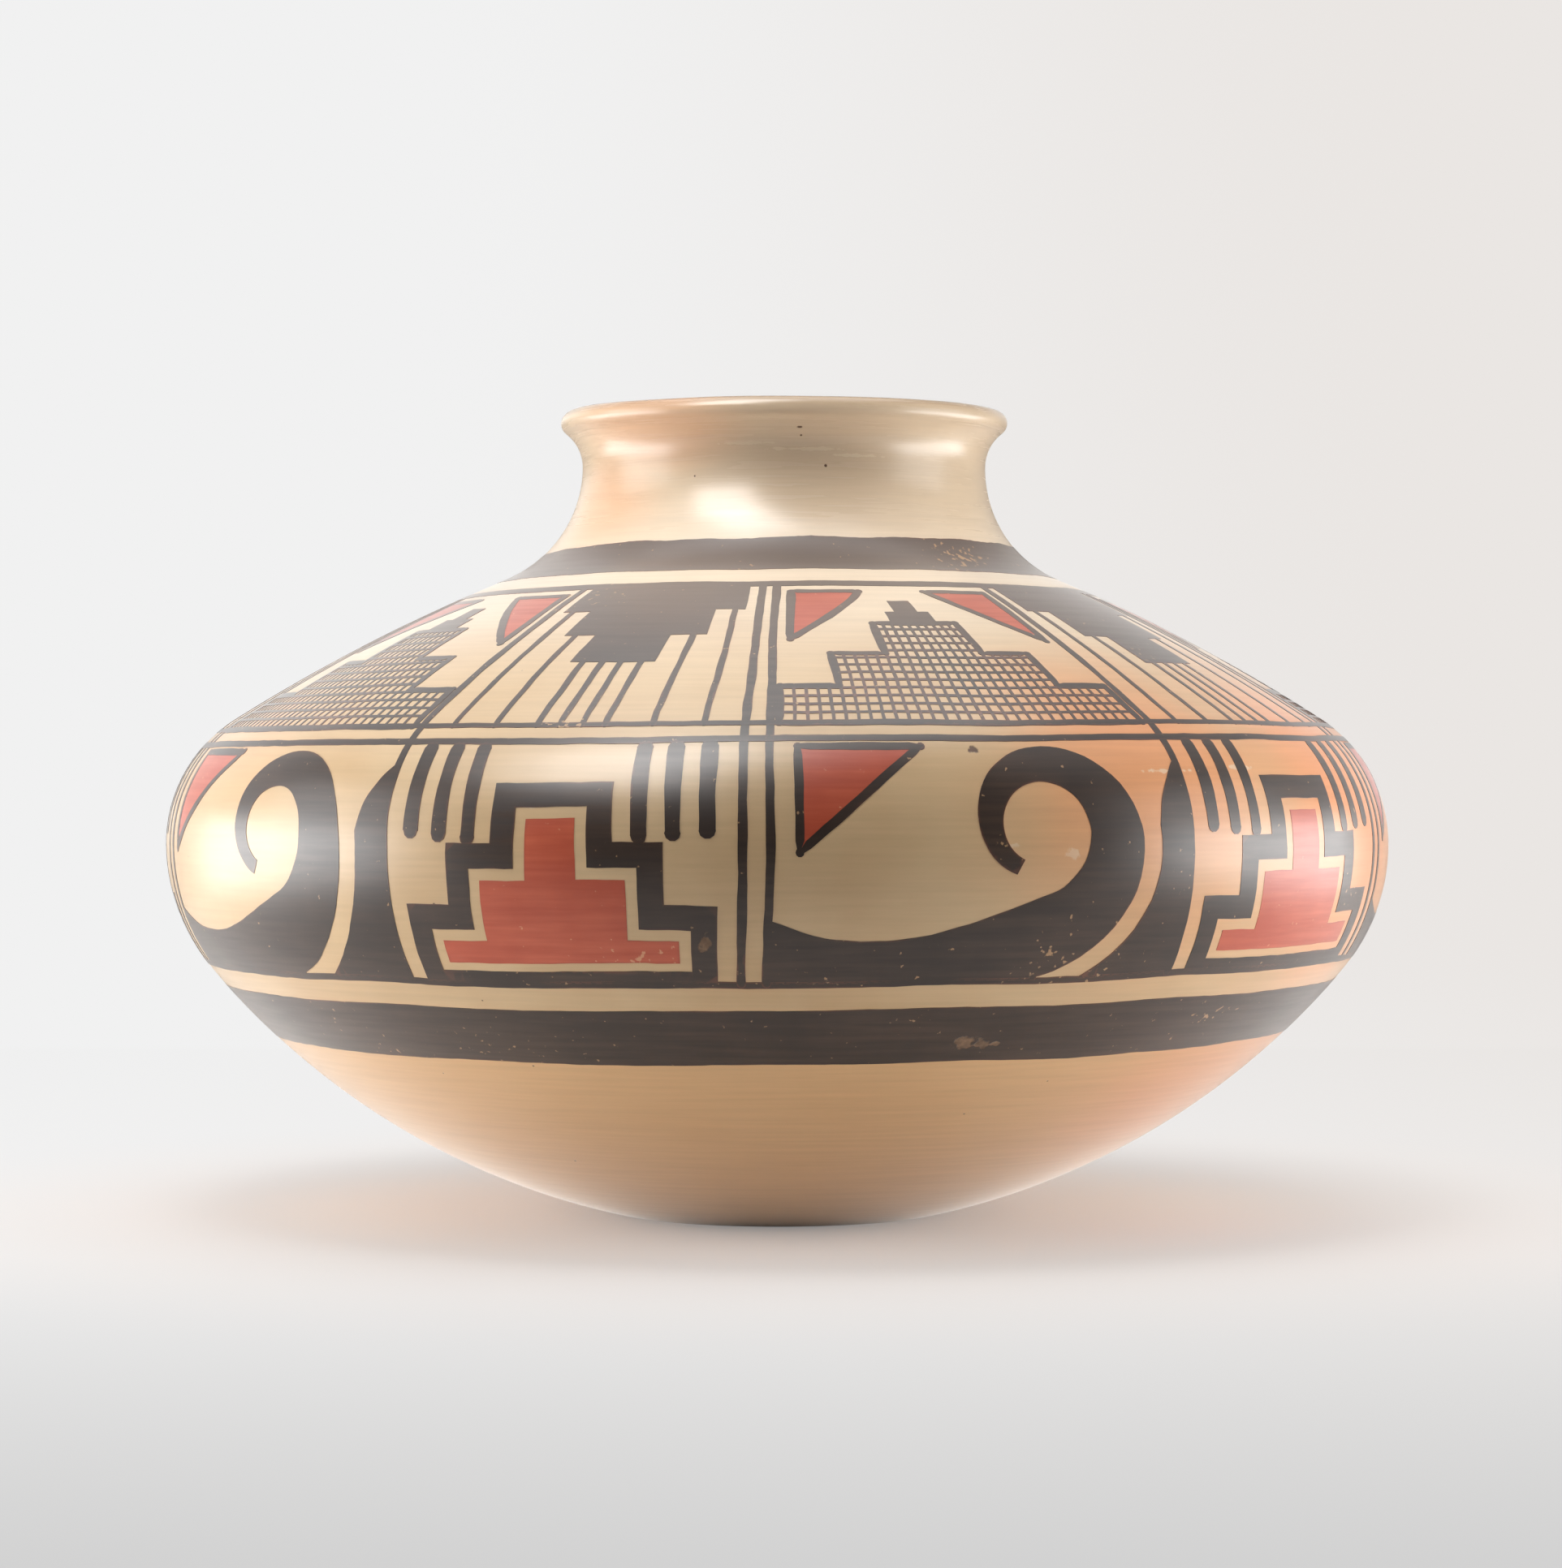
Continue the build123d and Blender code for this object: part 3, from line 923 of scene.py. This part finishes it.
def paint_material(name, dark, light, thin, worn, share, most):
    """Mineral paint, fired on and rubbed: streaked, thin and brown at its edges, and worn in specks."""
    material, tree, place = new_material(name)
    station = add(tree, "Attribute", output="Fac", attribute_name="station")
    edge = add(tree, "Attribute", output="Fac", attribute_name="edge")
    # Brush streaks about 1.5 mm high and 25 mm long, over patches of thicker and thinner paint 20 mm across
    streak = streaks(tree, place, station, 40.0, 660.0)
    coat = add(tree, "TexNoise", {"Vector": place, "Scale": 50.0, "Detail": 3.0})
    blend = maths(tree, "MULTIPLY", streak, coat)
    blend = ramp(tree, blend, 0.15, 0.4)
    body = mixed_colour(tree, blend, hex_colour(dark), hex_colour(light))
    # Painted sheen: the paint paler up the shoulder
    body = with_painted_sheen(tree, station, body, "#6A5A50", most)
    # The paint thins out in its last half millimetre
    rim = ramp(tree, edge, 0.45, 0.0)
    patchy = ramp(tree, coat, 0.4, 0.65, 0.0, 0.9)
    rim = maths(tree, "MULTIPLY", rim, patchy)
    # Specks under a millimetre wide where the paint has worn off, thick where hands and shelves rub it
    grain = add(tree, "TexNoise", {"Vector": place, "Scale": 620.0, "Detail": 2.0})
    handled = nearest_mark(tree, place, RUBBED)
    handled = ramp(tree, handled, 1.0, 0.2, 0.0, 0.16)
    field = ramp(tree, coat, 0.56, 0.8, 0.0, share)
    field = maths(tree, "ADD", field, handled)
    speck = maths(tree, "ADD", grain, field)
    speck = ramp(tree, speck, 0.72, 0.78)
    # Chips bare the clay under the paint; the near-black mixed in is painted shade in the broken hollow
    chip = ragged_marks(tree, place, CHIPS)
    broken = mixed_colour(tree, grain, hex_colour("#33241C"), hex_colour("#A07E60"))
    for part, colour in ((rim, hex_colour(thin)), (speck, hex_colour(worn)), (chip, broken)):
        body = mixed_colour(tree, part, body, colour)
    gloss = ramp(tree, streak, 0.3, 0.7, 0.38, 0.32)
    gloss = maths(tree, "MULTIPLY_ADD", chip, 0.4, gloss)
    rubbed_finish(tree, body, gloss, chip)
    return material


def sweep_material():
    """Matt white paper with painted shade to the front and right, and the shade round the jar; in metres.
    """
    material, tree, place = new_material("white_paper")
    x, y, _ = add(tree, "SeparateXYZ", {0: place}).node.outputs
    # Painted shade: to the camera the paper darkens towards the front and to the right
    painted_front_shade = ramp(tree, y, -0.1, -0.48)
    across = eased(tree, x, -0.3, 0.5)
    far = mixed_colour(tree, across, hex_colour("#F1F1F1"), hex_colour("#EAE6E3"))
    tone = mixed_colour(tree, painted_front_shade, far, hex_colour("#D0D0D0"))
    even = add(tree, "Emission", {0: tone})
    # The shade deepens towards the foot, and behind the jar there is none
    level = add(tree, "VectorMath", {0: place, 1: (0.0, 0.0, 0.0)}, "Value", operation="DISTANCE")
    open_floor = eased(tree, level, 0.03, 0.28, 0.25, 0.98)
    behind = eased(tree, y, 0.1, 0.6)
    share = maths(tree, "MAXIMUM", open_floor, behind)
    # The shaded paper is warmer: painted bounce light from the clay
    shaded = add(tree, "BsdfDiffuse", {0: hex_colour("#ECE0D8")})
    viewed = add(tree, "MixShader", {0: share, 1: shaded, 2: even})
    paper = add(tree, "BsdfDiffuse", {0: hex_colour("#F2F0EE")})
    seen = add(tree, "LightPath", output="Is Camera Ray")
    shader = add(tree, "MixShader", {0: seen, 1: paper, 2: viewed})
    add(tree, "OutputMaterial", {0: shader})
    return material


# The jar

burnished = clay_material()
scraped = scraped_material()
# Dark and light of the coat, its thin edge and what shows in specks, how worn it is and its painted sheen
black_paint = paint_material("black_mineral_paint", "#30231C", "#443329", "#6A4030", "#A8845F", 0.15, 0.72)
red_paint = paint_material("red_clay_slip", "#B04A30", "#C55F42", "#9A4632", "#D0936E", 0.08, 0.1)

carry_round = coil_tree()
lay_paint = paint_tree()
for node, rows in coil_sections().items():
    settings = {"Columns": COLUMNS, "Outside": burnished, "Inside": scraped}
    coil = grown(node + "_clay", section_mesh(node, rows), carry_round, settings)
    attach(coil, "root")
    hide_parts(node)

outline_curve = bpy.data.curves.new("wall_outline", "CURVE")
outline_curve.dimensions = "3D"
spline = outline_curve.splines.new("POLY")
spline.points.add(len(OUTLINE) - 1)
for point, (_, radius, height, _, _) in zip(spline.points, OUTLINE):
    point.co = (radius * MM, 0, height * MM, 1)
outline_object = placed("wall_outline", outline_curve)

units = [frieze_unit(FRIEZE_START + 360 / REPEATS * i) for i in range(REPEATS)]
drawings = {name: ring_drawing(name, rings) for name, rings in RINGS.items()}
drawings["frieze_black"] = area_drawing("frieze_black", [black for black, _ in units])
films = [(name, drawing, black_paint, "black_paint", BLACK_FILM) for name, drawing in drawings.items()]
red_drawing = area_drawing("frieze_red", [red for _, red in units])
films.append(("frieze_red", red_drawing, red_paint, "red_slip", RED_FILM))
for name, drawing, paint, slot, film in films:
    settings = {"Outline": outline_object, "Film": film * MM, "Bed": BED * MM, "Paint": paint}
    coat = grown(name, drawing, lay_paint, settings)
    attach(coat, "root")
bpy.data.objects.remove(outline_object)

# Studio, in metres: a white paper sweep, and soft light from both sides and above

SWEEP_WIDTH, SWEEP_FRONT, SWEEP_BACK, SWEEP_BEND, SWEEP_HEIGHT = 6.0, -2.4, 1.3, 0.7, 3.2
bend = [math.radians(a) for a in range(-90, 1, 6)]
profile = [(SWEEP_FRONT, 0.0)]
profile += [(SWEEP_BACK + SWEEP_BEND * math.cos(a), SWEEP_BEND * (1 + math.sin(a))) for a in bend]
profile.append((SWEEP_BACK + SWEEP_BEND, SWEEP_HEIGHT))
sweep_mesh = bpy.data.meshes.new("paper_sweep")
sweep_mesh.from_pydata(
    [(side * SWEEP_WIDTH / 2, y, z) for y, z in profile for side in (-1, 1)],
    [],
    [(2 * i, 2 * i + 1, 2 * i + 3, 2 * i + 2) for i in range(len(profile) - 1)],
)
sweep_mesh.polygons.foreach_set("use_smooth", [True] * len(sweep_mesh.polygons))
sweep_mesh.materials.append(sweep_material())
sweep = placed("paper_sweep", sweep_mesh)

AIM = Vector((0, 0, 0.1))
NECK = Vector((0, -0.05, 0.18))
OPEN = 180
# Each has an azimuth and an elevation in degrees, a distance, a width and a height, and a power in watts.
# A lamp with a narrow beam also has its aim and angle.
LAMPS = [
    ("left_softbox", -84, 12, 0.9, 0.55, 0.5, 3.4),
    ("right_softbox", 82, 12, 0.9, 0.55, 0.5, 2.4),
    ("left_low_panel", -90, -4, 0.5, 0.5, 0.2, 2.1),
    ("right_low_panel", 90, -4, 0.5, 0.5, 0.2, 2.1),
    ("top_softbox", 0, 90, 0.5, 0.45, 0.45, 1.6),
    ("top_left_softbox", -80, 60, 0.6, 0.5, 0.5, 0.9),
    ("top_right_softbox", 80, 60, 0.6, 0.5, 0.5, 0.6),
    ("top_left_card", -80, 60, 0.6, 0.5, 0.5, 2.9),
    ("left_back_card", -140, 30, 0.9, 0.7, 0.6, 1.1),
    ("front_softbox", -20, 66, 0.6, 0.25, 0.25, 0.17, NECK, 50),
    ("front_card", -35, 47, 0.6, 0.28, 0.26, 2.9),
]
# Cards show only as reflections
for name, azimuth, elevation, distance, width, height, power, *narrow in LAMPS:
    aim, beam = narrow or (AIM, OPEN)
    light = bpy.data.lights.new(name, "AREA")
    light.shape = "RECTANGLE"
    light.size = width
    light.size_y = height
    light.energy = power
    light.spread = math.radians(beam)
    lamp = placed(name, light)
    side, rise = math.radians(azimuth), math.radians(elevation)
    ray = Vector((math.sin(side) * math.cos(rise), -math.cos(side) * math.cos(rise), math.sin(rise)))
    lamp.location = AIM + ray * distance
    lamp.rotation_euler = (lamp.location - aim).to_track_quat("Z", "Y").to_euler()
    lamp.visible_camera = False
    lamp.visible_diffuse = not name.endswith("card")

# The room is pale to the camera and lights the jar very little
world = bpy.data.worlds.new("studio")
bpy.context.scene.world = world
world.use_nodes = True
background = world.node_tree.nodes["Background"]
background.inputs["Color"].default_value = hex_colour("#EDEBE9")
seen = add(world.node_tree, "LightPath", output="Is Camera Ray")
strength = ramp(world.node_tree, seen, 0.0, 1.0, 0.03, 1.0)
world.node_tree.links.new(strength, background.inputs["Strength"])

# Camera, from the photo, with the distance and height that the painted rings give, in millimetres
PHOTO_WIDTH, PHOTO_HEIGHT = 1924, 1932
PIXELS_PER_MM = 4.89
HORIZON_ROW = 950
AXIS_COLUMN = 958
EYE_DISTANCE, EYE_HEIGHT = 1000.0, 110.0
camera = bpy.data.cameras.new("camera")
camera.sensor_width = 36
camera.lens = camera.sensor_width * PIXELS_PER_MM * EYE_DISTANCE / PHOTO_HEIGHT
camera.shift_x = (PHOTO_WIDTH / 2 - AXIS_COLUMN) / PHOTO_HEIGHT
camera.shift_y = (HORIZON_ROW - PHOTO_HEIGHT / 2) / PHOTO_HEIGHT
eye = placed("camera", camera)
eye.location = (0, -EYE_DISTANCE * MM, EYE_HEIGHT * MM)
eye.rotation_euler = (math.radians(90), 0, 0)
bpy.context.scene.camera = eye

bpy.context.scene.view_settings.view_transform = "Standard"
